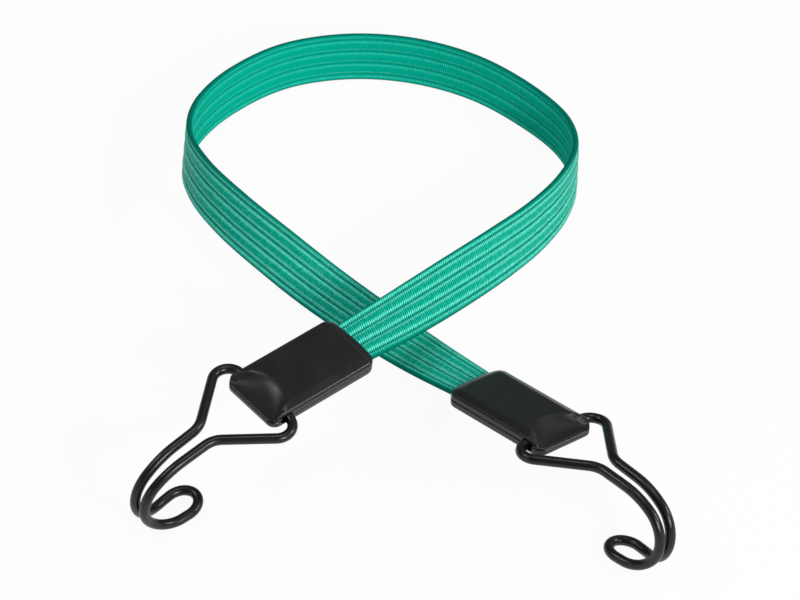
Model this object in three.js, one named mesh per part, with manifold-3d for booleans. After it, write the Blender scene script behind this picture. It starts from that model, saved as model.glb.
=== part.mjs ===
// A flat elastic bungee cord, laid in one loose loop whose two ends cross.
// Millimetres, +Z up. The origin is on the floor, under the middle of the whole object.
// Each end has a two-shell plastic cover that holds a crimp on the strap and a swinging wire hook.

import * as THREE from "three";
import { mergeVertices } from "three/addons/utils/BufferGeometryUtils.js";
import Module from "manifold-3d";

const wasm = await Module();
wasm.setup();

// Clearances
const fitGap = 0.3;
const coreGap = 0.2;
const cutThrough = 1;

// Strap: a woven jacket with three wide ribs and two edge ribs, each round a rubber core
const strapWidth = 20;
const strapThickness = 2.7;
const grooveDepth = 0.45;
const ribShoulder = 1.25;
const edgeNose = 1.5;
const jacketWall = 0.45;
const edgeCoreThinning = 0.15;
const coreShoulder = 0.5;
const wideRibCount = 3;

// Crimp on each strap end
const crimpLength = 8;
const crimpWallFlat = 0.7;
const crimpWallSide = 1.2;

// Cover: walls, and lengths from its mouth to its nose
const coverSideWall = 1.65;
const coverFaceWall = 1.1;
const mouthLip = 5;
const crossWall = 4;
const hollowLength = 17.8;
const hollowFaceWall = 1.5;
const hollowSideWall = 3;
const pivotToNose = 7.2;
const coverCorner = 3.6;
const coverEdgeRound = 1.3;
const mouthBulge = 1.2;
const noseHeight = 0.7;
const scoopLength = 12;
const scoopRadius = 43;
const pegRadius = 1.2;
const pegHeight = 1.9;
const pegFoot = 0.9;
const rearPegFromSide = 4.5;
const frontPegFromSide = 6.8;

// Hook: one bent wire, with a headed stub in each side of its cover
const wireDiameter = 3.8;
const armCornerOutside = 12.1;
const armCornerRound = 5.8;
const armReach = 27.1;
const kneeSpread = 3.75;
const kneeRound = 10;
const legPitch = THREE.MathUtils.degToRad(6.7);
const legLength = 12.6;
const bowRadius = 27.6;
const bowTurn = THREE.MathUtils.degToRad(28);
const bendRadius = 13.4;
const bendTurn = THREE.MathUtils.degToRad(148);
const throatSpread = 2.55;
const returnLength = 3.9;
const tipSpread = 5.6;
const tipLength = 7;
const headLip = 0.45;
const headThickness = 1.5;
const headSideWall = 2;
const restSway = THREE.MathUtils.degToRad(25);

// Facets of the round forms
const strapSteps = 40;
const wireSteps = 90;
const wireSides = 10;
const cornerSteps = 5;
const bowSteps = 4;
const bendSteps = 12;
const tipSteps = 4;
const boreSides = 16;
const pegSides = 12;
const scoopSides = 64;

// The strap's middle line from the left cover's mouth, round the loop, to the right cover's mouth.
// Each row is x, y, z in millimetres and the lean of the strap's upper edge towards the loop's inside.
const route = [
  [-17.9, -63.1, 36.1, 83],
  [1.6, -45.6, 35.9, 67],
  [20.3, -27.1, 35.1, 51],
  [37.3, -6.8, 32.1, 36],
  [52.4, 15.5, 27.5, 22],
  [63.6, 39.5, 22.4, 10],
  [69.1, 65.6, 16.6, -1],
  [65.2, 91.2, 11.7, -9],
  [50.3, 114.2, 9.8, -14],
  [29.5, 132.5, 9.8, -16],
  [4.2, 143.9, 9.7, -18],
  [-22.3, 146.5, 9.7, -18],
  [-48.3, 139.7, 9.8, -16],
  [-69.3, 122.7, 10.1, -12],
  [-82.0, 99.9, 12.6, -4],
  [-85.2, 73.6, 17.7, 8],
  [-78.7, 48.1, 22.8, 22],
  [-65.3, 25.1, 24.6, 37],
  [-47.7, 4.3, 23.4, 50],
  [-29.9, -13.7, 20.7, 62],
  [-10.3, -32.0, 18.6, 74],
  [8.7, -50.0, 18.1, 87],
  [26.8, -70.0, 21.8, 99],
];

const jacketFabric = new THREE.MeshStandardMaterial({ color: 0x12a184, roughness: 0.7, metalness: 0 });
const rubber = new THREE.MeshStandardMaterial({ color: 0xd8cfae, roughness: 0.8, metalness: 0 });
const coverPlastic = new THREE.MeshStandardMaterial({ color: 0x242527, roughness: 0.5, metalness: 0 });
const crimpSteel = new THREE.MeshStandardMaterial({ color: 0xb4b6b8, roughness: 0.35, metalness: 1 });
const coatedWire = new THREE.MeshStandardMaterial({ color: 0x1b1b1c, roughness: 0.35, metalness: 0.2 });

// Fits that follow from the sizes above: the strap's slot, the crimp, the hook's stubs and the cover
const slotWidth = strapWidth + 2 * fitGap;
const slotHeight = strapThickness + 2 * fitGap;
const crimpWidth = slotWidth + 2 * crimpWallSide;
const crimpHeight = slotHeight + 2 * crimpWallFlat;
const boreRadius = wireDiameter / 2 + fitGap;
const headRadius = wireDiameter / 2 + headLip;
const coverWidth = crimpWidth + 2 * (fitGap + coverSideWall);
const coverHeight = Math.max(crimpHeight, 2 * headRadius) + 2 * (fitGap + coverFaceWall);
const sideFace = coverWidth / 2;
const armSpread = sideFace + armCornerOutside;
const headOuter = sideFace - headSideWall - fitGap;
const headInner = headOuter - headThickness;

// Places inside a cover, along X from its mouth. The hinge lies along Y at pivotX.
const crimpStart = mouthLip + fitGap;
const crimpEnd = crimpStart + crimpLength;
const strapInCover = crimpEnd - fitGap;
const hollowStart = crimpEnd + fitGap + crossWall;
const hollowEnd = hollowStart + hollowLength;
const pivotX = hollowEnd + crossWall + boreRadius;
const coverLength = pivotX + pivotToNose;
const pegSpots = [
  [hollowStart - crossWall / 2, sideFace - rearPegFromSide],
  [hollowEnd + crossWall / 2, sideFace - frontPegFromSide],
];

// Closed meshes to solids and back, for joining and cutting
function solidOf(geometry) {
  const bare = geometry.clone();
  bare.deleteAttribute("normal");
  bare.deleteAttribute("uv");
  const merged = mergeVertices(bare, 1e-4);
  return new wasm.Manifold(
    new wasm.Mesh({
      numProp: 3,
      vertProperties: new Float32Array(merged.attributes.position.array),
      triVerts: new Uint32Array(merged.index.array),
    }),
  );
}

function geometryOf(solid) {
  const mesh = solid.getMesh();
  const geometry = new THREE.BufferGeometry();
  geometry.setAttribute("position", new THREE.BufferAttribute(mesh.vertProperties, 3));
  geometry.setIndex(new THREE.BufferAttribute(mesh.triVerts, 1));
  geometry.computeVertexNormals();
  return geometry;
}

function box(xLow, xHigh, yLow, yHigh, zLow, zHigh) {
  const geometry = new THREE.BoxGeometry(xHigh - xLow, yHigh - yLow, zHigh - zLow);
  geometry.translate((xLow + xHigh) / 2, (yLow + yHigh) / 2, (zLow + zHigh) / 2);
  return solidOf(geometry);
}

// A round bar along Y, centred on x, between two y values
function barAlongY(x, radius, yLow, yHigh) {
  const geometry = new THREE.CylinderGeometry(radius, radius, yHigh - yLow, boreSides);
  geometry.translate(x, (yLow + yHigh) / 2, 0);
  return solidOf(geometry);
}

// The route as a smooth curve with the strap's own frame at each place on it:
// along is the way of travel, across points to the upper edge and out is the outer face's normal.
const routeCurve = new THREE.CatmullRomCurve3(route.map(([x, y, z]) => new THREE.Vector3(x, y, z)));
const upwards = new THREE.Vector3(0, 0, 1);

function leanAt(curvePlace) {
  const spot = curvePlace * (route.length - 1);
  const before = Math.min(Math.floor(spot), route.length - 2);
  const lean = THREE.MathUtils.lerp(route[before][3], route[before + 1][3], spot - before);
  return THREE.MathUtils.degToRad(lean);
}

function strapFrame(share) {
  const centre = routeCurve.getPointAt(share);
  const along = routeCurve.getTangentAt(share);
  const lean = leanAt(routeCurve.getUtoTmapping(share));
  const rise = upwards.clone().addScaledVector(along, -along.z).normalize();
  const side = along.clone().cross(rise);
  const across = rise.clone().multiplyScalar(Math.cos(lean)).addScaledVector(side, -Math.sin(lean));
  const out = rise.clone().multiplyScalar(Math.sin(lean)).addScaledVector(side, Math.cos(lean));
  return { centre, along, across, out };
}

function shiftedFrame(frame, distance) {
  return { ...frame, centre: frame.centre.clone().addScaledVector(frame.along, distance) };
}

const leftMouth = strapFrame(0);
const rightMouth = strapFrame(1);
const stations = [shiftedFrame(leftMouth, -strapInCover)];
for (let i = 0; i <= strapSteps; i += 1) {
  stations.push(strapFrame(i / strapSteps));
}
stations.push(shiftedFrame(rightMouth, strapInCover));

// The strap's section, as points across its width and through its thickness
const wideRib = strapWidth / (wideRibCount + 1);
const edgeRib = wideRib / 2;
const crest = strapThickness / 2;
const groove = crest - grooveDepth;
const edgeAngles = [40, 75].map(THREE.MathUtils.degToRad);

function halfOutline() {
  const edge = edgeAngles.map((angle) => [
    strapWidth / 2 - edgeNose * (1 - Math.cos(angle)),
    crest * Math.sin(angle),
  ]);
  const points = [[strapWidth / 2, 0], ...edge];
  for (let rib = 0; rib < wideRibCount; rib += 1) {
    const start = strapWidth / 2 - edgeRib - rib * wideRib;
    points.push([start, groove], [start - ribShoulder, crest], [start - wideRib + ribShoulder, crest]);
  }
  points.push([edgeRib - strapWidth / 2, groove]);
  points.push(...edge.map(([y, z]) => [-y, z]).reverse());
  return points;
}

const upperOutline = halfOutline();
const lowerOutline = upperOutline.map(([y, z]) => [-y, -z]);
const jacketOutline = [...upperOutline, ...lowerOutline];

// A core's six-sided section, or its channel's when the gap is 0
function coreOutline(core, gap) {
  const onEdge = core === 0 || core === wideRibCount + 1;
  const middleRib = (wideRibCount + 1) / 2;
  const ribWidth = onEdge ? edgeRib : wideRib;
  const inset = onEdge ? (strapWidth - edgeRib) / 2 : wideRib * Math.abs(core - middleRib);
  const centre = core < middleRib ? inset : -inset;
  const halfWide = ribWidth / 2 - jacketWall - gap;
  const halfThick = groove - (onEdge ? edgeCoreThinning : 0) - gap;
  const flat = halfWide - coreShoulder;
  return [
    [centre + halfWide, 0],
    [centre + flat, halfThick],
    [centre - flat, halfThick],
    [centre - halfWide, 0],
    [centre - flat, -halfThick],
    [centre + flat, -halfThick],
  ];
}

// A solid swept through every station, with an outline and any number of channels right through it
function sweptStrap(outline, channels) {
  const loops = [outline, ...channels];
  const ringSize = loops.reduce((total, loop) => total + loop.length, 0);
  const positions = [];
  for (const { centre, across, out } of stations) {
    for (const [y, z] of loops.flat()) {
      const point = centre.clone().addScaledVector(across, y).addScaledVector(out, z);
      positions.push(point.x, point.y, point.z);
    }
  }
  const triangles = [];
  const lastRing = (stations.length - 1) * ringSize;
  let first = 0;
  loops.forEach((loop, which) => {
    for (let step = 0; step < stations.length - 1; step += 1) {
      for (let i = 0; i < loop.length; i += 1) {
        const a = step * ringSize + first + i;
        const b = step * ringSize + first + ((i + 1) % loop.length);
        const c = a + ringSize;
        const d = b + ringSize;
        if (which === 0) triangles.push(a, b, d, a, d, c);
        else triangles.push(a, d, b, a, c, d);
      }
    }
    first += loop.length;
  });
  const flat = loops.map((loop) => loop.map(([y, z]) => new THREE.Vector2(y, z)));
  const endFaces = THREE.ShapeUtils.triangulateShape(flat[0], flat.slice(1));
  for (const [a, b, c] of endFaces) {
    triangles.push(a, c, b, lastRing + a, lastRing + b, lastRing + c);
  }
  const geometry = new THREE.BufferGeometry();
  geometry.setAttribute("position", new THREE.Float32BufferAttribute(positions, 3));
  geometry.setIndex(triangles);
  geometry.computeVertexNormals();
  return geometry;
}

function named(name, geometry, material) {
  const mesh = new THREE.Mesh(geometry, material);
  mesh.name = name;
  return mesh;
}

function makeStrap() {
  const strap = new THREE.Group();
  const coreCount = wideRibCount + 2;
  const channels = [];
  for (let core = 0; core < coreCount; core += 1) {
    channels.push(coreOutline(core, 0));
    strap.add(named(`rubber_core_${core + 1}`, sweptStrap(coreOutline(core, coreGap), []), rubber));
  }
  strap.add(named("strap_jacket", sweptStrap(jacketOutline, channels), jacketFabric));
  return strap;
}

// The cover's plan, drawn in by the rounding of its edges, with a mouth that bows out
function coverPlan() {
  const low = coverEdgeRound;
  const high = coverLength - coverEdgeRound;
  const half = sideFace - coverEdgeRound;
  const corner = coverCorner - coverEdgeRound;
  const plan = new THREE.Shape();
  plan.moveTo(low + corner, -half);
  plan.lineTo(high - corner, -half);
  plan.absarc(high - corner, -half + corner, corner, -Math.PI / 2, 0);
  plan.lineTo(high, half - corner);
  plan.absarc(high - corner, half - corner, corner, 0, Math.PI / 2);
  plan.lineTo(low + corner, half);
  plan.quadraticCurveTo(low, half, low, half - corner);
  plan.quadraticCurveTo(low - 2 * mouthBulge, 0, low, -half + corner);
  plan.quadraticCurveTo(low, -half, low + corner, -half);
  return plan;
}

// The whole cover's outside: a rounded slab with a shallow scoop down to its nose
function coverOutside() {
  const slab = new THREE.ExtrudeGeometry(coverPlan(), {
    depth: coverHeight - 2 * coverEdgeRound,
    bevelEnabled: true,
    bevelThickness: coverEdgeRound,
    bevelSize: coverEdgeRound,
    bevelSegments: 2,
    curveSegments: 4,
  });
  slab.translate(0, 0, -coverHeight / 2 + coverEdgeRound);
  const slope = Math.atan2(coverHeight / 2 - noseHeight, scoopLength);
  const scoop = new THREE.CylinderGeometry(scoopRadius, scoopRadius, 4 * scoopLength, scoopSides);
  scoop.rotateZ(-Math.PI / 2);
  scoop.translate(0, 0, scoopRadius);
  scoop.rotateY(slope);
  scoop.translate(coverLength - scoopLength, 0, coverHeight / 2);
  return solidOf(slab).subtract(solidOf(scoop));
}

// What both shells leave free inside: the strap's slot, the crimp's pocket, a hollow and the stubs' bores
function coverInside() {
  const hollowHalf = coverHeight / 2 - hollowFaceWall;
  const hollowSide = sideFace - hollowSideWall;
  const slotHalf = slotWidth / 2;
  const pocketHalf = crimpWidth / 2 + fitGap;
  const pocketRise = crimpHeight / 2 + fitGap;
  const reach = mouthBulge + cutThrough;
  let free = box(-reach, crimpEnd, -slotHalf, slotHalf, -slotHeight / 2, slotHeight / 2);
  free = free.add(box(mouthLip, crimpEnd + fitGap, -pocketHalf, pocketHalf, -pocketRise, pocketRise));
  free = free.add(box(hollowStart, hollowEnd, -hollowSide, hollowSide, -hollowHalf, hollowHalf));
  for (const side of [-1, 1]) {
    const bore = [side * (sideFace + cutThrough), side * (headInner - fitGap)].sort((a, b) => a - b);
    const seat = [side * (headOuter + fitGap), side * (headInner - fitGap)].sort((a, b) => a - b);
    free = free.add(barAlongY(pivotX, boreRadius, ...bore));
    free = free.add(barAlongY(pivotX, headRadius + fitGap, ...seat));
  }
  return free;
}

// The four pegs that key the shells together, or their sockets
function pegs(radius, zLow, zHigh) {
  let all = null;
  for (const [x, y] of pegSpots) {
    for (const side of [-1, 1]) {
      const geometry = new THREE.CylinderGeometry(radius, radius, zHigh - zLow, pegSides);
      geometry.rotateX(Math.PI / 2);
      geometry.translate(x, side * y, (zLow + zHigh) / 2);
      const peg = solidOf(geometry);
      all = all ? all.add(peg) : peg;
    }
  }
  return all;
}

function coverShells() {
  const shell = coverOutside().subtract(coverInside());
  const joint = fitGap / 2;
  const big = coverLength * 2;
  const above = box(-big, big, -big, big, joint, big);
  const below = box(-big, big, -big, big, -big, -joint);
  const sockets = pegs(pegRadius + fitGap, -joint, pegHeight + fitGap);
  const upper = shell.intersect(above).subtract(sockets);
  const lower = shell.intersect(below).add(pegs(pegRadius, -pegFoot, pegHeight));
  return { upper: geometryOf(upper), lower: geometryOf(lower) };
}

function crimpBand() {
  const halfWide = crimpWidth / 2;
  const halfThick = crimpHeight / 2;
  const slotStart = crimpStart - cutThrough;
  const slotEnd = crimpEnd + cutThrough;
  const block = box(crimpStart, crimpEnd, -halfWide, halfWide, -halfThick, halfThick);
  const slot = box(slotStart, slotEnd, -slotWidth / 2, slotWidth / 2, -slotHeight / 2, slotHeight / 2);
  return geometryOf(block.subtract(slot));
}

// Points of a path with each inner corner rounded by an arc of its own radius
function roundedPath(corners, radii) {
  const points = [corners[0]];
  for (let i = 1; i < corners.length - 1; i += 1) {
    const back = corners[i - 1].clone().sub(corners[i]).normalize();
    const ahead = corners[i + 1].clone().sub(corners[i]).normalize();
    const half = back.angleTo(ahead) / 2;
    const radius = radii[i - 1];
    const middle = back.clone().add(ahead).normalize();
    const centre = corners[i].clone().addScaledVector(middle, radius / Math.sin(half));
    const sideways = back.clone().sub(ahead).normalize();
    const sweep = Math.PI / 2 - half;
    for (let step = 0; step <= cornerSteps; step += 1) {
      const turn = THREE.MathUtils.lerp(sweep, -sweep, step / cornerSteps);
      points.push(
        centre.clone()
          .addScaledVector(middle, -radius * Math.cos(turn))
          .addScaledVector(sideways, radius * Math.sin(turn)),
      );
    }
  }
  points.push(corners[corners.length - 1]);
  return points;
}

// One leg of the hook in the plane of its swing: straight from the knee, bowed, bent round and straight back.
// Each row has the place, the way ahead there and the length travelled from the knee.
function legLine() {
  const bowBend = bowTurn / bowSteps;
  const bendBend = bendTurn / bendSteps;
  const runs = [
    { steps: 1, step: legLength, bend: 0 },
    { steps: bowSteps, step: 2 * bowRadius * Math.sin(bowBend / 2), bend: bowBend },
    { steps: bendSteps, step: 2 * bendRadius * Math.sin(bendBend / 2), bend: bendBend },
    { steps: 1, step: returnLength, bend: 0 },
  ];
  const place = new THREE.Vector3(armReach, 0, 0);
  let dip = legPitch;
  let travelled = 0;
  const line = [];
  for (const { steps, step, bend } of runs) {
    for (let i = 0; i < steps; i += 1) {
      dip += bend / 2;
      const ahead = new THREE.Vector3(Math.cos(dip), 0, -Math.sin(dip));
      place.addScaledVector(ahead, step);
      dip += bend / 2;
      travelled += step;
      line.push({ place: place.clone(), ahead, travelled });
    }
  }
  return line;
}

// Half of the hook's wire, from its stub to the middle of its tip, with the hinge along Y at the origin.
// The two legs draw together down to the middle of the bend, and open again to the tip loop.
function halfWire() {
  const line = legLine();
  const legEnd = line[0];
  const tipStart = line[line.length - 1];
  const throat = line[bowSteps + bendSteps / 2];
  const spread = (travelled) => {
    const closed = THREE.MathUtils.smoothstep(travelled, 0, throat.travelled);
    const opened = THREE.MathUtils.smoothstep(travelled, throat.travelled, tipStart.travelled);
    return kneeSpread + (throatSpread - kneeSpread) * closed + (tipSpread - throatSpread) * opened;
  };
  for (const row of line) {
    row.place.y = spread(row.travelled);
  }
  const corners = [
    new THREE.Vector3(0, headInner, 0),
    new THREE.Vector3(0, armSpread, 0),
    new THREE.Vector3(armReach, kneeSpread, 0),
    legEnd.place,
  ];
  const points = roundedPath(corners, [armCornerRound, kneeRound]);
  points.push(...line.slice(1).map((row) => row.place));
  for (let i = 1; i <= tipSteps; i += 1) {
    const turn = (Math.PI / 2) * (i / tipSteps);
    const point = tipStart.place.clone().addScaledVector(tipStart.ahead, tipLength * Math.sin(turn));
    point.y = tipSpread * Math.cos(turn);
    points.push(point);
  }
  return points;
}

function hookWire() {
  const half = halfWire();
  const mirrored = half.slice(0, -1).map((point) => new THREE.Vector3(point.x, -point.y, point.z));
  const path = new THREE.CatmullRomCurve3([...half, ...mirrored.reverse()], false, "centripetal");
  const ring = new THREE.Shape();
  ring.absarc(0, 0, wireDiameter / 2, 0, 2 * Math.PI);
  const bar = new THREE.ExtrudeGeometry(ring, {
    steps: wireSteps,
    extrudePath: path,
    curveSegments: wireSides / 2,
  });
  let wire = solidOf(bar);
  for (const side of [-1, 1]) {
    const ends = [side * headInner, side * headOuter].sort((a, b) => a - b);
    wire = wire.add(barAlongY(0, headRadius, ...ends));
  }
  return geometryOf(wire);
}

// Turns a hook on its hinge until its bend stands on the floor, halving the sway that is left each time
function standOnFloor(end, hook, floor) {
  let raised = -restSway;
  let lowered = restSway;
  while (lowered - raised > 1e-6) {
    hook.rotation.y = (raised + lowered) / 2;
    end.updateMatrixWorld(true);
    const lowest = new THREE.Box3().setFromObject(hook, true).min.z;
    if (lowest > floor) raised = hook.rotation.y;
    else lowered = hook.rotation.y;
  }
}

// One end of the cord. X runs out of the strap to the nose and Z is the cover's upper face.
function makeEnd(side, mouth, way, floor) {
  const end = new THREE.Group();
  const outwards = mouth.along.clone().multiplyScalar(way);
  const sideways = mouth.out.clone().cross(outwards);
  const basis = new THREE.Matrix4().makeBasis(outwards, sideways, mouth.out);
  end.quaternion.setFromRotationMatrix(basis);
  end.position.copy(mouth.centre);
  const shells = coverShells();
  end.add(named(`${side}_cover_upper`, shells.upper, coverPlastic));
  end.add(named(`${side}_cover_lower`, shells.lower, coverPlastic));
  end.add(named(`${side}_strap_crimp`, crimpBand(), crimpSteel));
  const hook = named(`${side}_hook_wire`, hookWire(), coatedWire);
  hook.position.x = pivotX;
  end.add(hook);
  standOnFloor(end, hook, floor);
  return end;
}

// The floor is under the strap's lowest edge, and the whole cord is set down on it
const strap = makeStrap();
const floor = new THREE.Box3().setFromObject(strap, true).min.z;
const bungeeCord = new THREE.Group();
bungeeCord.add(strap);
bungeeCord.add(makeEnd("left", leftMouth, -1, floor));
bungeeCord.add(makeEnd("right", rightMouth, 1, floor));
bungeeCord.position.z = -floor;

export default bungeeCord;
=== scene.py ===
# A flat elastic bungee cord, laid in one loose loop whose two ends cross.
# The file follows the cord as it is put together: strap, rubber, crimps, covers, then hooks.
# Units are metres, except where a section says that it draws in millimetres.

import bpy
import math
import numpy as np
from mathutils import Matrix, Vector


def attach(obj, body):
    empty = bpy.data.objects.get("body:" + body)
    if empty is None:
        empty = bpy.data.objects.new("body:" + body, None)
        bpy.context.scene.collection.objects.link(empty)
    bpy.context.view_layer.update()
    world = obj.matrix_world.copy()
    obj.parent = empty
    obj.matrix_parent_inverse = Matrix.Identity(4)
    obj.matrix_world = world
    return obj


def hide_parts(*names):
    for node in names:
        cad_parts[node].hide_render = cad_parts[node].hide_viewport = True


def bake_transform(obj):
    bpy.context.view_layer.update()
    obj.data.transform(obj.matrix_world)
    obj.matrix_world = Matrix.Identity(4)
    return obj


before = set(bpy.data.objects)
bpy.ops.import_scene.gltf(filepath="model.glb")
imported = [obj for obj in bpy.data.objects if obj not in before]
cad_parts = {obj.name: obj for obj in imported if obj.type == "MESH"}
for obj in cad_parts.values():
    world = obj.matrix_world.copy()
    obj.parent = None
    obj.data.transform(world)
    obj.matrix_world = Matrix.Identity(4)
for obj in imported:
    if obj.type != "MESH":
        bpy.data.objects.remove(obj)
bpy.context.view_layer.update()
scene = bpy.context.scene
scene.view_settings.view_transform = "Standard"


# Camera
# It looks along the cord from the hooks' side, 41 degrees up, with a long lens,
# so that the loop narrows only a little towards its back.
view_target = Vector((-0.0003, 0.0031, -0.0001))
view_distance = 1.3015
view_height = math.radians(41)

camera = bpy.data.objects.new("camera", bpy.data.cameras.new("camera"))
camera.data.sensor_width = 36
camera.data.lens = 151.5
towards_camera = Vector((0, -math.cos(view_height), math.sin(view_height)))
camera.location = view_target + view_distance * towards_camera
camera.rotation_euler = towards_camera.to_track_quat("Z", "Y").to_euler()
scene.collection.objects.link(camera)
scene.camera = camera


# Strap
# A flat band of green polyester yarn, woven tight over rubber in three wide ribs and two edge ribs.
# It is woven by the reel, cut to length, and each cut end goes into a crimp inside a cover.
# Its middle line runs from the left cover's mouth, round the loop, to the right cover's mouth:
# x, y, z and the lean in degrees of its upper edge towards the inside of the loop.
strap_route = [
    (-0.0179, -0.0631, 0.0361, 83),
    (0.0016, -0.0456, 0.0359, 67),
    (0.0203, -0.0271, 0.0351, 51),
    (0.0373, -0.0068, 0.0321, 36),
    (0.0524, 0.0155, 0.0275, 22),
    (0.0636, 0.0395, 0.0224, 10),
    (0.0691, 0.0656, 0.0166, -1),
    (0.0652, 0.0912, 0.0117, -9),
    (0.0503, 0.1142, 0.0098, -14),
    (0.0295, 0.1325, 0.0098, -16),
    (0.0042, 0.1439, 0.0097, -18),
    (-0.0223, 0.1465, 0.0097, -18),
    (-0.0483, 0.1397, 0.0098, -16),
    (-0.0693, 0.1227, 0.0101, -12),
    (-0.0820, 0.0999, 0.0126, -4),
    (-0.0852, 0.0736, 0.0177, 8),
    (-0.0787, 0.0481, 0.0228, 22),
    (-0.0653, 0.0251, 0.0246, 37),
    (-0.0477, 0.0043, 0.0234, 50),
    (-0.0299, -0.0137, 0.0207, 62),
    (-0.0103, -0.0320, 0.0186, 74),
    (0.0087, -0.0500, 0.0181, 87),
    (0.0268, -0.0700, 0.0218, 99),
]
strap_width = 0.0200
strap_thickness = 0.0027
strap_in_cover = 0.0130
wide_rib = 0.0050
groove_depth = 0.0009
groove_tightness = 2.5
edge_nose = 0.0014
weft_thickness = 0.00093
weft_rise = 0.00005
weft_slant = 0.3
stretch_start_row = 17
curve_steps = 60
half_rib_points = 5
groove_crowding = 1.4
nose_angles = [0, 25, 45, 67, 90]

# Slight kinks across the strap, as from a fold: place along it, place across it, and depth.
strap_creases = [
    (0.1035, -0.0030, 0.00030),
    (0.1080, 0.0045, 0.00025),
    (0.1135, -0.0005, 0.00030),
    (0.4700, 0.0020, 0.00022),
]
crease_length = 0.0011
crease_reach = 0.0050


def smooth_line(rows, steps):
    """Points of a centripetal Catmull-Rom curve through the rows, with the lean as the last column."""
    rows = np.array(rows, dtype=float)
    knots = rows[:, :3]
    padded = [2 * knots[0] - knots[1], *knots, 2 * knots[-1] - knots[-2]]
    line = []
    for span, (a, b, c, d) in enumerate(zip(padded, padded[1:], padded[2:], padded[3:])):
        ab, bc, cd = (np.linalg.norm(q - p) ** 0.5 for p, q in ((a, b), (b, c), (c, d)))
        leave = bc * ((b - a) / ab - (c - a) / (ab + bc) + (c - b) / bc)
        arrive = bc * ((c - b) / bc - (d - b) / (bc + cd) + (d - c) / cd)
        for t in np.arange(steps) / steps:
            place = (2 * t**3 - 3 * t**2 + 1) * b + (3 * t**2 - 2 * t**3) * c
            place = place + (t**3 - 2 * t**2 + t) * leave + (t**3 - t**2) * arrive
            lean = rows[span, 3] + t * (rows[span + 1, 3] - rows[span, 3])
            line.append([*place, lean])
    line.append(rows[-1])
    return np.array(line)


def unit(vectors):
    return vectors / np.linalg.norm(vectors, axis=-1, keepdims=True)


def read_off(places, line_places, columns):
    """Columns of values along a line, read off at other places on it."""
    return np.stack([np.interp(places, line_places, column) for column in columns.T], axis=1)


# Rings half a weft thread apart, a whole number of threads from mouth to mouth, each with the strap's
# own directions: along the strap, across to its upper edge, and out of its outer face.
route_line = smooth_line(strap_route, curve_steps)
route_spans = np.linalg.norm(np.diff(route_line[:, :3], axis=0), axis=1)
route_place = np.concatenate([[0], np.cumsum(route_spans)])
free_length = route_place[-1]
weft_threads = round(free_length / weft_thickness)
weft_pitch = free_length / weft_threads
ring_step = weft_pitch / 2
rings_in_cover = round(strap_in_cover / ring_step)
ring_count = 2 * weft_threads + 2 * rings_in_cover + 1
ring_place = (np.arange(ring_count) - rings_in_cover) * ring_step
held_place = np.clip(ring_place, 0, free_length)
line_along = unit(np.gradient(route_line[:, :3], route_place, axis=0))
ring_along = unit(read_off(held_place, route_place, line_along))
ring_centre = read_off(held_place, route_place, route_line[:, :3])
ring_centre = ring_centre + (ring_place - held_place)[:, None] * ring_along
ring_lean = np.radians(read_off(held_place, route_place, route_line[:, 3:]))
ring_rise = unit(np.array([0, 0, 1.0]) - ring_along[:, 2:] * ring_along)
ring_side = np.cross(ring_along, ring_rise)
ring_across = ring_rise * np.cos(ring_lean) - ring_side * np.sin(ring_lean)
ring_out = ring_rise * np.sin(ring_lean) + ring_side * np.cos(ring_lean)


def from_groove(y):
    """How far a place across the strap lies from the nearest groove between two ribs."""
    return np.abs(np.abs(y) % wide_rib - wide_rib / 2)


def half_thickness(y):
    """Half the strap's thickness at a place across it: round ribs, drawn-in grooves and a round nose."""
    sunk = groove_depth * (1 - from_groove(y) / (wide_rib / 2)) ** groove_tightness
    into_nose = np.clip((np.abs(y) - strap_width / 2 + edge_nose) / edge_nose, 0, 1)
    return (strap_thickness / 2 - sunk) * np.sqrt(1 - into_nose**2)


def strap_section():
    """Places across the strap, from its upper edge to its lower edge, close together at nose and groove."""
    half_rib = wide_rib / 2 * np.linspace(0, 1, half_rib_points) ** groove_crowding
    nose = strap_width / 2 - edge_nose * (1 - np.cos(np.radians(nose_angles)))
    places = [*nose, *-nose]

    # The four grooves lie half a rib and one and a half ribs from the strap's middle line.
    for groove in (-1.5, -0.5, 0.5, 1.5):
        places += [*(groove * wide_rib + half_rib), *(groove * wide_rib - half_rib)]
    inside = strap_width / 2 - edge_nose
    kept = {round(y, 6) for y in places if abs(y) <= inside or y in nose or -y in nose}
    return np.array(sorted(kept, reverse=True))


def strap_rings():
    """Points of every ring: the outer face from upper to lower edge, then the inner face back."""
    y_outer = strap_section()
    y_inner = y_outer[::-1][1:-1]
    y = np.concatenate([y_outer, y_inner])
    thick = np.concatenate([half_thickness(y_outer), -half_thickness(y_inner)])
    on_thread = (np.arange(ring_count) - rings_in_cover) % 2 == 0
    proud = np.where(on_thread, weft_rise, -weft_rise)[:, None]
    thread = y * (1 + proud / (strap_width / 2))
    rise = thick * (1 + proud / (strap_thickness / 2))
    for place, middle, depth in strap_creases:
        near = np.exp(-(((ring_place[:, None] - place) / crease_length) ** 2))
        rise = rise - depth * near * np.exp(-(((y - middle) / crease_reach) ** 2))
    points = ring_centre[:, None] + thread[..., None] * ring_across[:, None]
    return points + rise[..., None] * ring_out[:, None], y


def closed_tube(rings):
    """Vertices and faces of a closed tube through rings of points, with its faces pointing out."""
    count, size = rings.shape[:2]
    start = np.arange(count - 1)[:, None] * size
    here = start + np.arange(size)
    beside = start + (np.arange(size) + 1) % size
    sides = np.stack([here, beside, beside + size, here + size], axis=-1).reshape(-1, 4)
    first_end = list(range(size))[::-1]
    last_end = list(range((count - 1) * size, count * size))
    return rings.reshape(-1, 3).tolist(), [*sides.tolist(), first_end, last_end]


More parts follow.
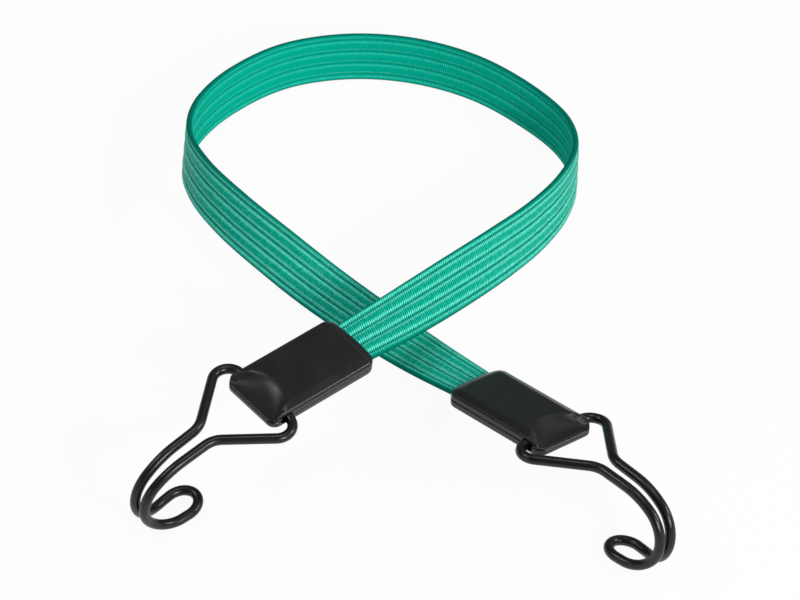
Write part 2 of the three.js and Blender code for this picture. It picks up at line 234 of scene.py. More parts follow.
def new_piece(name, vertices, faces, sharp=None):
    """A smooth-shaded mesh object; edges that turn by more than the sharp angle stay sharp."""
    mesh = bpy.data.meshes.new(name)
    mesh.from_pydata(vertices, [], faces)
    mesh.shade_smooth()
    if sharp:
        mesh.set_sharp_from_angle(angle=math.radians(sharp))
    piece = bpy.data.objects.new(name, mesh)
    scene.collection.objects.link(piece)
    return piece


def linear(hex_colour):
    """An sRGB hex colour as the linear colour that a shader takes."""
    shares = [int(hex_colour[i:i + 2], 16) / 255 for i in (1, 3, 5)]
    return (*(c / 12.92 if c <= 0.04045 else ((c + 0.055) / 1.055) ** 2.4 for c in shares), 1)


def add_node(tree, kind, inputs=None, **settings):
    """One shader node; each input is a value, or the output of another node that feeds it."""
    node = tree.nodes.new(kind)
    for name, value in settings.items():
        setattr(node, name, value)
    for name, value in (inputs or {}).items():
        if isinstance(value, bpy.types.NodeSocket):
            tree.links.new(value, node.inputs[name])
        else:
            node.inputs[name].default_value = value
    return node.outputs


def new_material(name, **sockets):
    """A material with one principled shader, and its node tree and shader for what varies."""
    made = bpy.data.materials.new(name)
    made.use_nodes = True
    shader = made.node_tree.nodes["Principled BSDF"]
    for socket, value in sockets.items():
        shader.inputs[socket.replace("_", " ")].default_value = value
    return made, made.node_tree, shader


# The yarn's tones lie on a scale from 0 to 1. Threads lift or lower the middle tone at random; each
# thread's round top also gets a painted highlight, and each part of a rib a painted highlight or painted
# shade, by a contrast that is strongest on the ribs of the outer face.
# The deep and pale ends of the ramp serve both the yarn's random tone and the painted shade and painted
# highlight.
deep_yarn_and_shade, deep_tone = "#008C76", 0.1
yarn_body, body_tone = "#00AC93", 0.6
pale_yarn_and_highlight, pale_tone = "#7AEAD4", 0.95
yarn_gleam = "#8FFFED"
middle_tone = 0.5
outer_contrast = 0.32
edge_contrast = 0.16
inner_contrast = 0.12
thread_unevenness = 1.5
groove_painted_shade = -0.5
flank_painted_highlight = 0.8
crown_painted_shade = -0.5

# Where the tones change: away from the nearest groove, then out from the strap's middle line.
groove_bed = 0.0002
groove_reach = 0.0008
flank_end = 0.0009
crown_start = 0.0020
contrast_fade = (0.0080, 0.0096)
edge_fade = (0.0089, 0.0098)
gloss_fade = (0.0092, 0.0098)
# Painted shade: the share of the tone kept in the grooves of each face, and at the strap's edges.
inner_groove_shade = 1.0
outer_groove_shade = 0.74
edge_shade = 0.45

# The yarn's roughness, and the sizes of its threads' and filaments' swell.
# Noise lies mostly between the low and the high value.
noise_low, noise_high = 0.3, 0.7
gleaming_yarn = 0.22
satin_yarn = 0.34
matt_yarn = 0.85
thread_swell = 0.00004
filament_swell = 0.00003
filament_width = 0.00015


def woven_polyester():
    """Bright filament yarn, woven tight: saturated teal, painted highlight on rib flanks and thread tops,
    painted shade in grooves and at edges.
    """
    made, tree, shader = new_material("woven polyester yarn", IOR=1.5, Specular_IOR_Level=0.055)
    shader.inputs["Specular Tint"].default_value = linear(yarn_gleam)
    place = add_node(tree, "ShaderNodeUVMap", uv_map="weave")["UV"]
    split = add_node(tree, "ShaderNodeSeparateXYZ", {"Vector": place})
    turns = add_node(
        tree, "ShaderNodeMath", {0: split["X"], 1: 2 * math.pi / weft_pitch}, operation="MULTIPLY",
    )
    wave = add_node(tree, "ShaderNodeMath", {0: turns[0]}, operation="COSINE")
    offset = add_node(tree, "ShaderNodeMath", {0: split["Y"], 1: wide_rib / 2}, operation="SUBTRACT")
    away = add_node(tree, "ShaderNodeMath", {0: offset[0], 1: wide_rib / 2}, operation="PINGPONG")
    from_middle = add_node(tree, "ShaderNodeMath", {0: split["Y"]}, operation="ABSOLUTE")
    outer = add_node(tree, "ShaderNodeAttribute", attribute_name="outer_face")["Fac"]

    # Threads differ in tone at random; each thread's round top also gets a painted highlight between
    # the painted shade of its gaps, most on the outer face and least on the inner.
    stretch = (1 / weft_pitch, 4 / wide_rib, 1)
    cells = add_node(tree, "ShaderNodeVectorMath", {0: place, 1: stretch}, operation="MULTIPLY")
    threads = add_node(tree, "ShaderNodeTexNoise", {"Vector": cells[0], "Scale": 0.7, "Detail": 1.0})
    outer_relief = add_node(
        tree, "ShaderNodeMapRange",
        {"Value": from_middle[0], "From Min": contrast_fade[0], "From Max": contrast_fade[1],
         "To Min": outer_contrast, "To Max": edge_contrast},
    )
    relief = add_node(
        tree, "ShaderNodeMapRange",
        {"Value": outer, "From Min": 0.0, "From Max": 1.0,
         "To Min": inner_contrast, "To Max": outer_relief[0]},
    )
    uneven = add_node(
        tree, "ShaderNodeMath", {0: threads["Fac"], 1: thread_unevenness, 2: -thread_unevenness / 2},
        operation="MULTIPLY_ADD",
    )
    thread_tone_and_highlight = add_node(tree, "ShaderNodeMath", {0: wave[0], 1: uneven[0]}, operation="ADD")
    mixed = add_node(
        tree, "ShaderNodeMath", {0: thread_tone_and_highlight[0], 1: relief[0], 2: middle_tone}, operation="MULTIPLY_ADD",
    )

    # Painted highlight on the flanks beside a groove, painted shade on the crown, deepest painted shade in
    # the groove.
    crown = add_node(
        tree, "ShaderNodeMapRange",
        {"Value": away[0], "From Min": flank_end, "From Max": crown_start,
         "To Min": flank_painted_highlight, "To Max": crown_painted_shade},
        interpolation_type="SMOOTHSTEP",
    )
    flank = add_node(
        tree, "ShaderNodeMapRange",
        {"Value": away[0], "From Min": groove_bed, "From Max": groove_reach,
         "To Min": groove_painted_shade, "To Max": crown[0]},
        interpolation_type="SMOOTHSTEP",
    )
    banded = add_node(
        tree, "ShaderNodeMath", {0: flank[0], 1: relief[0], 2: mixed[0]}, operation="MULTIPLY_ADD",
    )
    tones = add_node(tree, "ShaderNodeValToRGB", {"Fac": banded[0]})
    ramp = tree.nodes[-1].color_ramp
    ramp.elements[0].position = deep_tone
    ramp.elements[0].color = linear(deep_yarn_and_shade)
    ramp.elements[1].position = pale_tone
    ramp.elements[1].color = linear(pale_yarn_and_highlight)
    ramp.elements.new(body_tone).color = linear(yarn_body)
    # Painted shade darkens the grooves, on the outer face only, and the strap's edges.
    groove_shade = add_node(
        tree, "ShaderNodeMapRange",
        {"Value": outer, "From Min": 0.0, "From Max": 1.0,
         "To Min": inner_groove_shade, "To Max": outer_groove_shade},
    )
    depth = add_node(
        tree, "ShaderNodeMapRange",
        {"Value": away[0], "From Min": 0.0, "From Max": groove_reach,
         "To Min": groove_shade[0], "To Max": 1.0},
        interpolation_type="SMOOTHSTEP",
    )
    edge_painted_shade = add_node(
        tree, "ShaderNodeMapRange",
        {"Value": from_middle[0], "From Min": edge_fade[0], "From Max": edge_fade[1],
         "To Min": 1.0, "To Max": edge_shade},
    )
    lit = add_node(tree, "ShaderNodeMath", {0: depth[0], 1: edge_painted_shade[0]}, operation="MULTIPLY")
    shade = add_node(tree, "ShaderNodeVectorMath", {0: tones["Color"], "Scale": lit[0]}, operation="SCALE")
    tree.links.new(shade[0], shader.inputs["Base Color"])

    # The yarn shines where it lies open, on the ribs of the outer face.
    # Grooves, edges and the inner face are matt.
    open_share = add_node(
        tree, "ShaderNodeMapRange",
        {"Value": away[0], "From Min": 0.0, "From Max": groove_reach, "To Min": 0.0, "To Max": outer},
    )
    shine = add_node(
        tree, "ShaderNodeMapRange",
        {"Value": from_middle[0], "From Min": gloss_fade[0], "From Max": gloss_fade[1],
         "To Min": open_share[0], "To Max": 0.0},
    )
    sheen = add_node(
        tree, "ShaderNodeMapRange",
        {"Value": threads["Fac"], "From Min": noise_low, "From Max": noise_high,
         "To Min": gleaming_yarn, "To Max": satin_yarn},
    )
    rough = add_node(
        tree, "ShaderNodeMapRange",
        {"Value": shine[0], "From Min": 0.0, "From Max": 1.0, "To Min": matt_yarn, "To Max": sheen[0]},
    )
    tree.links.new(rough[0], shader.inputs["Roughness"])

    # Each weft thread is round. Its filaments are far finer than a pixel, so they are drawn 0.15 mm wide.
    thread_round = add_node(
        tree, "ShaderNodeBump", {"Strength": 1.0, "Distance": thread_swell, "Height": wave[0]},
    )
    filament = (1 / (3 * weft_pitch), 1 / filament_width, 1)
    finer = add_node(tree, "ShaderNodeVectorMath", {0: place, 1: filament}, operation="MULTIPLY")
    strands = add_node(tree, "ShaderNodeTexNoise", {"Vector": finer[0], "Scale": 1.0, "Detail": 2.0})
    bump = add_node(
        tree, "ShaderNodeBump",
        {"Strength": 0.25, "Distance": filament_swell, "Height": strands["Fac"], "Normal": thread_round[0]},
    )
    tree.links.new(bump[0], shader.inputs["Normal"])
    return made


# The strap is one length. It is shown as two pieces that meet in a groove between two threads,
# because only its last straight run, from the loop's left side to the right cover, stretches.
all_rings, across_place = strap_rings()
on_outer = np.arange(len(across_place)) < len(strap_section())
thread_lead = weft_slant * ((across_place + wide_rib / 2) % wide_rib - wide_rib / 2)
run_start = route_place[stretch_start_row * curve_steps]
split_ring = rings_in_cover + 2 * round(run_start / weft_pitch) + 1
strap_rows = {"strap_loop": slice(0, split_ring + 1), "strap_right_run": slice(split_ring, None)}
yarn = woven_polyester()
strap_pieces = {}
for piece_name, rows in strap_rows.items():
    piece = new_piece(piece_name, *closed_tube(all_rings[rows]))

    # The weave is laid along and across the strap, with each thread slanted over its rib.
    corner_vertex = np.empty(len(piece.data.loops), dtype=np.int32)
    piece.data.loops.foreach_get("vertex_index", corner_vertex)
    ring_of, point_of = np.divmod(corner_vertex, len(across_place))
    along_place = ring_place[rows][ring_of] - thread_lead[point_of]
    weave = np.stack([along_place, across_place[point_of]], axis=1)
    piece.data.uv_layers.new(name="weave").data.foreach_set("uv", weave.astype(np.float32).ravel())
    outer_face = piece.data.attributes.new("outer_face", "FLOAT", "POINT")
    outer_shares = np.tile(on_outer, len(all_rings[rows])).astype(np.float32)
    outer_face.data.foreach_set("value", outer_shares)
    piece.data.materials.append(yarn)
    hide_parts("strap_jacket")
    strap_pieces[piece_name] = piece

left_mouth = rings_in_cover
right_mouth = ring_count - 1 - rings_in_cover
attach(strap_pieces["strap_loop"], "strap_and_left_end")
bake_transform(strap_pieces["strap_right_run"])


# Rubber
# A bundle of natural rubber threads fills each rib and gives the strap its stretch.
# The jacket is woven round the five bundles, so they run the strap's whole length inside it.
core_middles = [0.00875, 0.0050, 0.0, -0.0050, -0.00875]
core_half_widths = [0.0006, 0.00185, 0.00185, 0.00185, 0.0006]
core_half_thicknesses = [0.00055, 0.0007, 0.0007, 0.0007, 0.00055]
core_squareness = 0.6
core_sides = 14
core_ring_gap = 6
talc_speck = 0.0012


def natural_rubber():
    """Extruded latex thread dusted with talc: a pale straw colour, matt and finely speckled."""
    made, tree, shader = new_material("talced natural rubber")
    place = add_node(tree, "ShaderNodeTexCoord")["Object"]
    specks = add_node(tree, "ShaderNodeTexNoise", {"Vector": place, "Scale": 1 / talc_speck, "Detail": 3.0})
    tones = add_node(tree, "ShaderNodeValToRGB", {"Fac": specks["Fac"]})
    ramp = tree.nodes[-1].color_ramp
    ramp.elements[0].color = linear("#C9BE98")
    ramp.elements[1].color = linear("#E2DABD")
    tree.links.new(tones["Color"], shader.inputs["Base Color"])
    bump = add_node(tree, "ShaderNodeBump", {"Strength": 0.4, "Distance": 0.0001, "Height": specks["Fac"]})
    tree.links.new(bump[0], shader.inputs["Normal"])
    shader.inputs["Roughness"].default_value = 0.8
    shader.inputs["IOR"].default_value = 1.52
    return made


def core_rings(core, rows):
    """Rings of one core: a round-cornered flat section at every few rings of the strap."""
    turn = np.linspace(0, 2 * math.pi, core_sides, endpoint=False)
    y = core_middles[core] + core_half_widths[core] * np.cos(turn)
    z = core_half_thicknesses[core] * np.sign(np.sin(turn)) * np.abs(np.sin(turn)) ** core_squareness
    points = ring_centre[rows][:, None] + y[:, None] * ring_across[rows][:, None]
    return points + z[:, None] * ring_out[rows][:, None]


latex = natural_rubber()
loop_rows = [*range(0, split_ring, core_ring_gap), split_ring]
run_rows = [*range(split_ring, ring_count - 1, core_ring_gap), ring_count - 1]
for core in range(len(core_middles)):
    node_name = f"rubber_core_{core + 1}"
    for part, rows in (("loop", loop_rows), ("right_run", run_rows)):
        piece = new_piece(f"{node_name}_{part}", *closed_tube(core_rings(core, rows)))
        piece.data.materials.append(latex)
        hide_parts(node_name)
        if part == "loop":
            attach(piece, "strap_and_left_end")
        else:
            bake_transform(piece)


# Crimps
# A band of zinc-plated sheet steel is pressed round each cut end of the strap and drops into
# a pocket of the cover, so that the strap can't pull out through the narrower mouth.
zinc_cloud = 0.0020
crimp_edge_round = 0.0002


def zinc_plated_steel():
    """Bright zinc on rolled sheet: a cool grey metal with a soft, slightly cloudy shine."""
    made, tree, shader = new_material("zinc-plated sheet steel")
    place = add_node(tree, "ShaderNodeTexCoord")["Object"]
    clouds = add_node(tree, "ShaderNodeTexNoise", {"Vector": place, "Scale": 1 / zinc_cloud, "Detail": 4.0})
    rough = add_node(
        tree, "ShaderNodeMapRange",
        {"Value": clouds["Fac"], "From Min": noise_low, "From Max": noise_high,
         "To Min": 0.28, "To Max": 0.45},
    )
    tree.links.new(rough[0], shader.inputs["Roughness"])
    shader.inputs["Base Color"].default_value = linear("#B9BCC0")
    shader.inputs["Metallic"].default_value = 1.0
    return made


zinc = zinc_plated_steel()
for side in ("left", "right"):
    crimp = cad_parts[f"{side}_strap_crimp"]
    crimp.data.materials.clear()
    crimp.data.materials.append(zinc)
    pressed_edge = crimp.modifiers.new("pressed edge", "BEVEL")
    pressed_edge.width = crimp_edge_round
    pressed_edge.segments = 2


# Covers
# Each end has a cover moulded in two shells of black polypropylene, closed over the crimp and pegged.
# The flat back bows out over the strap, and a round thumb scoop drops to the nose between the hook's holes.
# Drawn in millimetres, with X from mouth to nose, Z up and the parting face at Z 0, and scaled when placed.
mm = 0.001
cover_length = 48.8
cover_half_width = 13.45
cover_half_height = 3.75
corner_round = 3.6
shoulder_width = 3.2
shoulder_drop = 1.15
shoulder_blend = 0.15
edge_round = 0.9
mouth_bow = 1.2
scoop_length = 12.0
scoop_radius = 13.6
scoop_hollow = 2.3
nose_height = 0.7
crest_blend = 0.8
half_parting = 0.15
parting_lip = 0.2
hinge_from_mouth = 41.6
hole_radius = 2.2
head_seat_radius = 2.42
head_seat_span = (9.5, 11.45)
recess_length = 1.8
recess_radius = 1.7
recess_depth = 1.0
past_wall = 1.0
slot_half = (10.3, 1.65)
slot_span = (-2.5, 13.3)
pocket_half = (11.8, 2.65)
pocket_span = (5.0, 13.6)
hollow_half = (10.45, 2.25)
hollow_span = (17.6, 35.4)
peg_places = [(15.6, 8.95), (37.4, 6.65)]
peg_radius = 1.2
peg_span = (-0.9, 1.9)
socket_radius = 1.5
socket_span = (-0.5, 2.2)
peg_sides = 20
moulded_edge = 32
mould_grain = 0.0004
mould_flow = 0.0090
rim_angles = np.arange(0, 91, 11.25)
rim_share = 0.6
least_wall = 0.02
long_steps = 62
flat_steps = 26


def smooth_least(a, b, width):
    """The lesser of two heights, with the corner between them rounded over the width."""
    share = np.clip(0.5 + (b - a) / (2 * width), 0, 1)
    return b + (a - b) * share - width * share * (1 - share)


def shell_height(x, y, inside, scooped):
    """Height of a shell's outer face over its plan: sloped shoulders, a round rim and the scoop on top."""
    shoulder = cover_half_height - shoulder_drop * (1 - inside / shoulder_width)
    top = smooth_least(np.full_like(x, cover_half_height), shoulder, shoulder_blend)
    if scooped:
        crest = cover_length - scoop_length + scoop_radius - np.sqrt(scoop_radius**2 - y**2)
        down = np.minimum((x - crest) / (cover_length - crest), 1)
        fall = (cover_half_height - nose_height) * (1 - np.abs(1 - down) ** scoop_hollow)
        top = smooth_least(top, cover_half_height - fall, crest_blend)
    rim = np.minimum(edge_round, rim_share * (top - half_parting))
    short = np.clip(rim - inside, 0, None)
    return top - rim + np.sqrt(rim**2 - short**2)


def shell_skin(scooped):
    """Vertices and faces of one solid shell, standing on its parting face."""
    # Rows across the cover and columns along it, close together where its corners and rims are round.
    round_steps = 1 - np.cos(np.radians(rim_angles))
    end_rows = corner_round * round_steps
    middle_rows = np.linspace(corner_round, cover_length - corner_round, long_steps)[1:-1]
    rows = np.concatenate([end_rows, middle_rows, cover_length - end_rows[::-1]])
    rim_columns = cover_half_width - edge_round * round_steps
    shoulder_columns = cover_half_width - shoulder_width + shoulder_blend * np.array([2, 0, -2])
    side_columns = np.concatenate([rim_columns, shoulder_columns])
    flat_columns = np.linspace(side_columns[-1], -side_columns[-1], flat_steps)[1:-1]
    columns = np.concatenate([-side_columns, -flat_columns, side_columns[::-1]]) / cover_half_width

    # The plan is drawn in at its corners; inside is how far each point lies from the outline.
    end_gap = np.clip(np.minimum(rows, cover_length - rows), 0, corner_round)
    drawn_in = corner_round - np.sqrt(corner_round**2 - (corner_round - end_gap) ** 2)
    x = np.repeat(rows[:, None], len(columns), axis=1)
    y = (cover_half_width - drawn_in)[:, None] * columns
    from_ends = np.abs(x - cover_length / 2) - cover_length / 2 + corner_round
    from_sides = np.abs(y) - cover_half_width + corner_round
    past_corner = np.hypot(np.maximum(from_ends, 0), np.maximum(from_sides, 0))
    inside = corner_round - past_corner - np.minimum(np.maximum(from_ends, from_sides), 0)
    z = shell_height(x, y, np.maximum(inside, 0), scooped)
    bow = mouth_bow * (1 - (y / cover_half_width) ** 2) * (1 - x / cover_length)
    top = np.stack([x - bow, y, z], axis=-1)

    # Below the rim a short wall and a small lip run round to the flat parting face.
    size = len(columns)
    index = np.arange(top.shape[0] * size).reshape(-1, size)
    corners = [index[:-1, :-1], index[1:, :-1], index[1:, 1:], index[:-1, 1:]]
    faces = np.stack(corners, axis=-1).reshape(-1, 4).tolist()
    around = np.concatenate([index[:-1, 0], index[-1, :-1], index[:0:-1, -1], index[0, :0:-1]])
    rim = top.reshape(-1, 3)[around]
    ahead = np.roll(rim, -1, axis=0) - np.roll(rim, 1, axis=0)
    outward = unit(np.stack([ahead[:, 1], -ahead[:, 0]], axis=1))
    wall_foot = np.minimum(half_parting + parting_lip, rim[:, 2] - least_wall)
    wall = np.column_stack([rim[:, :2], wall_foot])
    foot = np.column_stack([rim[:, :2] - parting_lip * outward, np.full(len(rim), half_parting)])
    vertices = np.concatenate([top.reshape(-1, 3), wall, foot])
    count = len(around)
    wall_ids = np.arange(count) + top.size // 3
    foot_ids = wall_ids + count
    for upper, lower in ((around, wall_ids), (wall_ids, foot_ids)):
        faces += np.stack([upper, lower, np.roll(lower, -1), np.roll(upper, -1)], axis=1).tolist()
    faces.append(foot_ids[::-1].tolist())
    return vertices, faces


def prism(outline, axis, low, high):
    """A bar with this outline, in the two other axes taken in turn, from low to high along an axis."""
    outline = np.array(outline, dtype=float)
    rings = np.empty((2, len(outline), 3))
    rings[:, :, (axis + 1) % 3] = outline[:, 0]
    rings[:, :, (axis + 2) % 3] = outline[:, 1]
    rings[:, :, axis] = np.array([[low], [high]])
    return closed_tube(rings)


def circle(centre, radius, sides=32):
    turn = np.linspace(0, 2 * math.pi, sides, endpoint=False)
    return np.stack([centre[0] + radius * np.cos(turn), centre[1] + radius * np.sin(turn)], axis=1)


def oblong(centre, half_long, half_high):
    corners = np.array([(-1, -1), (1, -1), (1, 1), (-1, 1)])
    return np.array(centre) + corners * (half_long, half_high)


def both_sides(outline, low, high):
    """The same bar across each side of the cover, from low to high out from its middle line."""
    return [prism(outline, 1, low, high), prism(outline, 1, -high, -low)]


def carve(piece, solids, operation):
    """Cuts solids out of a piece, or joins them to it; the solids of one call don't overlap."""
    vertices = []
    faces = []
    for solid_vertices, solid_faces in solids:
        faces += [[corner + len(vertices) for corner in face] for face in solid_faces]
        vertices += solid_vertices
    tool = new_piece("tool", vertices, faces)
    cut = piece.modifiers.new("cut", "BOOLEAN")
    cut.operation = operation
    cut.solver = "EXACT"
    cut.object = tool
    bpy.context.view_layer.update()
    result = piece.evaluated_get(bpy.context.evaluated_depsgraph_get())
    carved = bpy.data.meshes.new_from_object(result)
    piece.modifiers.clear()
    piece.data = carved
    bpy.data.objects.remove(tool)


def moulded_shell(upper):
    """One shell in its own frame, with its slot, pocket, hollow, hook holes and pegs or sockets."""
    vertices, faces = shell_skin(scooped=upper)
    if not upper:
        vertices = vertices * (1, 1, -1)
        faces = [face[::-1] for face in faces]
    piece = new_piece("shell", vertices.tolist(), faces)
    hinge = (0.0, hinge_from_mouth)
    outside = cover_half_width + past_wall
    slot = prism(oblong((0, 0), *slot_half), 0, *slot_span)
    hollow = prism(oblong((0, 0), *hollow_half), 0, *hollow_span)
    holes = both_sides(circle(hinge, hole_radius), head_seat_span[0], outside)
    carve(piece, [slot, hollow, *holes], "DIFFERENCE")
    pocket = prism(oblong((0, 0), *pocket_half), 0, *pocket_span)
    seats = both_sides(circle(hinge, head_seat_radius), *head_seat_span)
    carve(piece, [pocket, *seats], "DIFFERENCE")

    # Outside, each hole runs out into a shallow recess towards the nose, where the wire swings.
    recess_end = hinge_from_mouth + recess_length
    far_round = circle((0.0, recess_end), recess_radius)
    near_round = circle(hinge, hole_radius)
    recess = np.array([*near_round[near_round[:, 1] <= hinge_from_mouth + 1e-6],
                       *far_round[far_round[:, 1] >= recess_end - 1e-6]])
    turn = np.arctan2(recess[:, 0], recess[:, 1] - hinge_from_mouth - recess_length / 2)
    recess = recess[np.argsort(-turn)]
    carve(piece, both_sides(recess, cover_half_width - recess_depth, outside), "DIFFERENCE")

    # Pegs on the lower shell enter sockets in the upper one.
    radius, span = (socket_radius, socket_span) if upper else (peg_radius, peg_span)
    pegs = [
        prism(circle((x, flank * y), radius, peg_sides), 2, *span)
        for x, y in peg_places
        for flank in (-1, 1)
    ]
    carve(piece, pegs, "DIFFERENCE" if upper else "UNION")
    return piece


def moulded_polypropylene():
    """Black polypropylene from a spark-eroded mould: near-black satin, its highlights broken by grain."""
    made, tree, shader = new_material("moulded black polypropylene")
    place = add_node(tree, "ShaderNodeTexCoord")["Object"]
    grain = add_node(tree, "ShaderNodeTexNoise", {"Vector": place, "Scale": 1 / mould_grain, "Detail": 2.0})
    flow = add_node(tree, "ShaderNodeTexNoise", {"Vector": place, "Scale": 1 / mould_flow, "Detail": 3.0})
    tones = add_node(tree, "ShaderNodeValToRGB", {"Fac": flow["Fac"]})
    ramp = tree.nodes[-1].color_ramp
    ramp.elements[0].position = noise_low
    ramp.elements[0].color = linear("#0D0E0F")
    ramp.elements[1].position = noise_high
    ramp.elements[1].color = linear("#121314")
    tree.links.new(tones["Color"], shader.inputs["Base Color"])
    rough = add_node(
        tree, "ShaderNodeMapRange",
        {"Value": flow["Fac"], "From Min": noise_low, "From Max": noise_high,
         "To Min": 0.27, "To Max": 0.36},
    )
    tree.links.new(rough[0], shader.inputs["Roughness"])
    bump = add_node(tree, "ShaderNodeBump", {"Strength": 0.35, "Distance": 0.00003, "Height": grain["Fac"]})
    tree.links.new(bump[0], shader.inputs["Normal"])
    shader.inputs["IOR"].default_value = 1.49
    return made


def end_frame(mouth, way):
    """Matrix from a cover's millimetres to the strap's end: X out of the strap, Z out of its outer face."""
    outwards = way * ring_along[mouth]
    upwards = ring_out[mouth]
    sideways = np.cross(upwards, outwards)
    turned = Matrix((outwards, sideways, upwards)).transposed().to_4x4()
    return Matrix.Translation(Vector(ring_centre[mouth])) @ turned @ Matrix.Scale(mm, 4)


ends = {
    "left": (end_frame(left_mouth, -1), "strap_and_left_end", "left_hook"),
    "right": (end_frame(right_mouth, 1), "right_end", "right_hook"),
}
black_plastic = moulded_polypropylene()
for half in ("upper", "lower"):
    shell = moulded_shell(half == "upper")
    for side, (place, body, _) in ends.items():
        name = f"{side}_cover_{half}"
        mesh = shell.data.copy()
        mesh.transform(place)
        mesh.shade_smooth()
        mesh.set_sharp_from_angle(angle=math.radians(moulded_edge))
        mesh.materials.clear()
        mesh.materials.append(black_plastic)
        piece = bpy.data.objects.new(f"{name}_shell", mesh)
        scene.collection.objects.link(piece)
        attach(piece, body)
        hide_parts(name)
    bpy.data.objects.remove(shell)


# Hooks
# Each hook is one length of steel wire, coated black, bent double into a hook with a closed tip.
# Its two ends are headed and turn in the cover's side holes, so that the hook swings on them.
# Drawn in millimetres with the hinge along Y at the origin, and scaled when placed.
wire_radius = 1.9
head_radius = 2.35
head_inner = 9.65
head_outer = 11.15
head_chamfer = 0.25
neck_chamfer = 0.2
neck_step = 0.02
arm_spread = 25.55
arm_corner_round = 5.8
knee = np.array([27.1, 3.75, 0.0])
knee_round = 10.0
leg_pitch = math.radians(6.7)
leg_length = 12.6
bow_radius = 27.6
bow_turn = math.radians(28)
bend_radius = 13.4
bend_turn = math.radians(148)
throat_spread = 2.55
return_length = 3.9
tip_spread = 5.6
tip_length = 7.0
wire_sides = 28
arc_step = math.radians(5)
head_edge = 50
coating_peel = 0.0015
swing_searched = 0.45


def arc_steps(turn):
    return max(2, math.ceil(turn / arc_step))


def rounded_corner(before, corner, after, radius):
    """Points of the arc that rounds a corner of the wire."""
    back = unit(before - corner)
    ahead = unit(after - corner)
    half = math.acos(float(back @ ahead)) / 2
    middle = unit(back + ahead)
    sideways = unit(back - ahead)
    centre = corner + middle * radius / math.sin(half)
    sweep = math.pi / 2 - half
    turns = np.linspace(sweep, -sweep, arc_steps(2 * sweep))
    return [centre - radius * math.cos(t) * middle + radius * math.sin(t) * sideways for t in turns]


def smooth_step(value, low, high):
    share = np.clip((value - low) / (high - low), 0, 1)
    return share * share * (3 - 2 * share)


def leg_line():
    """One leg in the plane of the swing: straight from the knee, bowed, bent round and straight back.

    Gives its points, the length travelled to each, the length to the throat, and the way back."""
    bends = [(bow_radius, bow_turn), (bend_radius, bend_turn)]
    runs = [(1, leg_length, 0.0)]
    for radius, turn in bends:
        steps = arc_steps(turn)
        runs.append((steps, 2 * radius * math.sin(turn / steps / 2), turn / steps))
    runs.append((1, return_length, 0.0))
    dip = leg_pitch
    points = [knee]
    travelled = [0.0]
    for steps, step, turn in runs:
        for _ in range(steps):
            dip += turn / 2
            ahead = np.array([math.cos(dip), 0, -math.sin(dip)])
            dip += turn / 2
            points.append(points[-1] + step * ahead)
            travelled.append(travelled[-1] + step)
    throat = leg_length + bow_radius * bow_turn + bend_radius * bend_turn / 2
    return np.array(points[1:]), np.array(travelled[1:]), throat, ahead


def wire_path():
    """The hook's middle line from one headed end round the tip to the other, with each point's radius."""
    leg, travelled, throat, back = leg_line()
    closed = smooth_step(travelled, 0, throat)
    opened = smooth_step(travelled, throat, travelled[-1])
    leg[:, 1] += (throat_spread - knee[1]) * closed + (tip_spread - throat_spread) * opened
    stub = np.array([0.0, head_inner, 0.0])
    corner = np.array([0.0, arm_spread, 0.0])
    head_length = head_outer - head_inner
    head_steps = (0, head_chamfer, head_length - head_chamfer, head_length, head_length + neck_step)
    half = [stub + (0, step, 0) for step in head_steps]
    half += rounded_corner(stub, corner, knee, arm_corner_round)
    half += rounded_corner(corner, knee, leg[0], knee_round)
    half += list(leg)
    tip_centre = leg[-1] * (1, 0, 1)
    for turn in np.linspace(0, math.pi / 2, arc_steps(math.pi / 2))[1:]:
        half.append(tip_centre + tip_length * math.sin(turn) * back + (0, tip_spread * math.cos(turn), 0))
    head_radii = [head_radius - head_chamfer, head_radius, head_radius, head_radius - neck_chamfer]
    radii = head_radii + [wire_radius] * (len(half) - len(head_radii))
    path = np.array(half + [point * (1, -1, 1) for point in half[-2::-1]])
    return path, np.array(radii + radii[-2::-1])


def wire_rings(path, radii):
    """Round sections along the wire, each turned from the last by no more than the wire's own bend."""
    along = unit(np.gradient(path, axis=0))
    across = np.array([0.0, 0.0, 1.0])
    turn = np.linspace(0, 2 * math.pi, wire_sides, endpoint=False)
    rings = []
    for point, way, radius in zip(path, along, radii):
        across = unit(across - (across @ way) * way)
        beside = np.cross(way, across)
        rings.append(point + radius * (np.outer(np.cos(turn), across) + np.outer(np.sin(turn), beside)))
    return np.array(rings)


def coated_wire():
    """Steel wire with a baked black coating: satin, with a long soft highlight and a faint orange peel."""
    made, tree, shader = new_material("black coated steel wire", Specular_IOR_Level=0.42)
    place = add_node(tree, "ShaderNodeTexCoord")["Object"]
    peel = add_node(tree, "ShaderNodeTexNoise", {"Vector": place, "Scale": 1 / coating_peel, "Detail": 2.0})
    tones = add_node(tree, "ShaderNodeValToRGB", {"Fac": peel["Fac"]})
    ramp = tree.nodes[-1].color_ramp
    ramp.elements[0].color = linear("#050506")
    ramp.elements[1].color = linear("#09090A")
    tree.links.new(tones["Color"], shader.inputs["Base Color"])
    rough = add_node(
        tree, "ShaderNodeMapRange",
        {"Value": peel["Fac"], "From Min": noise_low, "From Max": noise_high,
         "To Min": 0.28, "To Max": 0.32},
    )
    tree.links.new(rough[0], shader.inputs["Roughness"])
    bump = add_node(tree, "ShaderNodeBump", {"Strength": 0.01, "Distance": 0.0001, "Height": peel["Fac"]})
    tree.links.new(bump[0], shader.inputs["Normal"])
    shader.inputs["IOR"].default_value = 1.5
    return made


def resting_turn(place, path):
    """The hook's turn about its hinge at which its bend just stands on the floor."""
    raised, lowered = -swing_searched, swing_searched
    while lowered - raised > 1e-6:
        turn = (raised + lowered) / 2
        matrix = place @ Matrix.Rotation(turn, 4, "Y")
        lowest = min((matrix @ Vector(point)).z for point in path) - wire_radius * mm
        raised, lowered = (turn, lowered) if lowest > 0 else (raised, turn)
    return raised


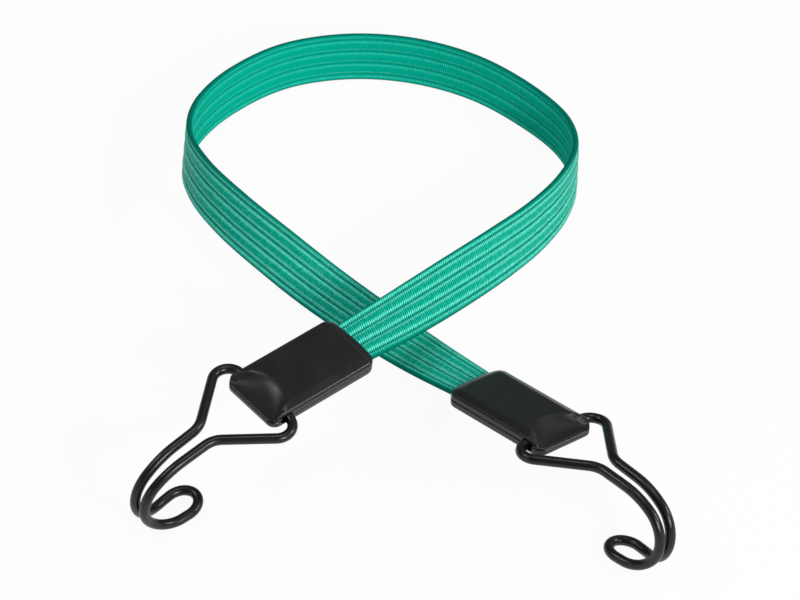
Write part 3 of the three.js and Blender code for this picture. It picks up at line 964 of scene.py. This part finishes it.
satin_black = coated_wire()
hook_path, hook_radii = wire_path()
for side, (place, _, body) in ends.items():
    hinge_place = place @ Matrix.Translation((hinge_from_mouth, 0, 0))
    rest = Matrix.Rotation(resting_turn(hinge_place, hook_path), 4, "Y")
    piece = new_piece(f"{side}_hook", *closed_tube(wire_rings(hook_path, hook_radii)), sharp=head_edge)
    piece.data.transform(hinge_place @ rest)
    piece.data.materials.append(satin_black)
    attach(piece, body)
    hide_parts(f"{side}_hook_wire")


# Floor and light
# A plain white floor in a dim room. The main light stands in front to the right and a weaker one
# on the right; small ones overhead, on the left, behind and low in front lift the shadows.
floor_half = 6.0
floor_level = -0.0002
floor_glow = 0.93
floor_corners = oblong((0, 0), floor_half, floor_half)
floor = new_piece("floor", [(x, y, floor_level) for x, y in floor_corners], [(0, 1, 2, 3)])


def white_floor():
    """White card: it takes the shadow, and what looks at it sees it close to white."""
    made, tree, shader = new_material("white card", Roughness=0.9)
    shader.inputs["Base Color"].default_value = linear("#F2F2F2")
    ray = add_node(tree, "ShaderNodeLightPath")
    seen = add_node(
        tree, "ShaderNodeMath",
        {0: ray["Is Camera Ray"], 1: ray["Is Glossy Ray"]}, operation="MAXIMUM",
    )
    seen = add_node(
        tree, "ShaderNodeMath", {0: seen[0], 1: ray["Is Transmission Ray"]}, operation="MAXIMUM",
    )
    share = add_node(tree, "ShaderNodeMath", {0: seen[0], 1: floor_glow}, operation="MULTIPLY")
    glow = add_node(tree, "ShaderNodeEmission", {"Color": (1, 1, 1, 1), "Strength": 1.0})
    mixed = add_node(
        tree, "ShaderNodeMixShader", {0: share[0], 1: shader.outputs["BSDF"], 2: glow[0]},
    )
    tree.links.new(mixed[0], tree.nodes["Material Output"].inputs["Surface"])
    return made


floor.data.materials.append(white_floor())


def soft_box(name, azimuth, elevation, distance, width, height, power):
    """A rectangular lamp that faces the cord: degrees, metres and watts.

    Azimuth 0 is the camera's side and 90 the right."""
    lamp = bpy.data.lights.new(name, "AREA")
    lamp.shape = "RECTANGLE"
    lamp.size = width
    lamp.size_y = height
    lamp.energy = power
    across, up = math.radians(azimuth), math.radians(elevation)
    way = Vector((math.sin(across) * math.cos(up), -math.cos(across) * math.cos(up), math.sin(up)))
    holder = bpy.data.objects.new(name, lamp)
    holder.location = distance * way
    holder.rotation_euler = way.to_track_quat("Z", "Y").to_euler()
    scene.collection.objects.link(holder)


soft_box("key light", 33, 26, 1.6, 0.45, 0.35, 14)
soft_box("side light", 82, 34, 1.5, 0.5, 0.45, 8)
soft_box("top light", 90, 86, 1.5, 0.4, 0.4, 3)
soft_box("left light", -95, 55, 1.5, 0.35, 0.35, 4)
soft_box("back light", 140, 46, 1.5, 0.9, 0.6, 0.9)
soft_box("fill light", -60, 16, 1.7, 1.0, 0.5, 2)

world = bpy.data.worlds.new("dim studio")
world.use_nodes = True
world.node_tree.nodes["Background"].inputs["Color"].default_value = (0.19, 0.19, 0.195, 1)
world.node_tree.nodes["Background"].inputs["Strength"].default_value = 1.0
scene.world = world
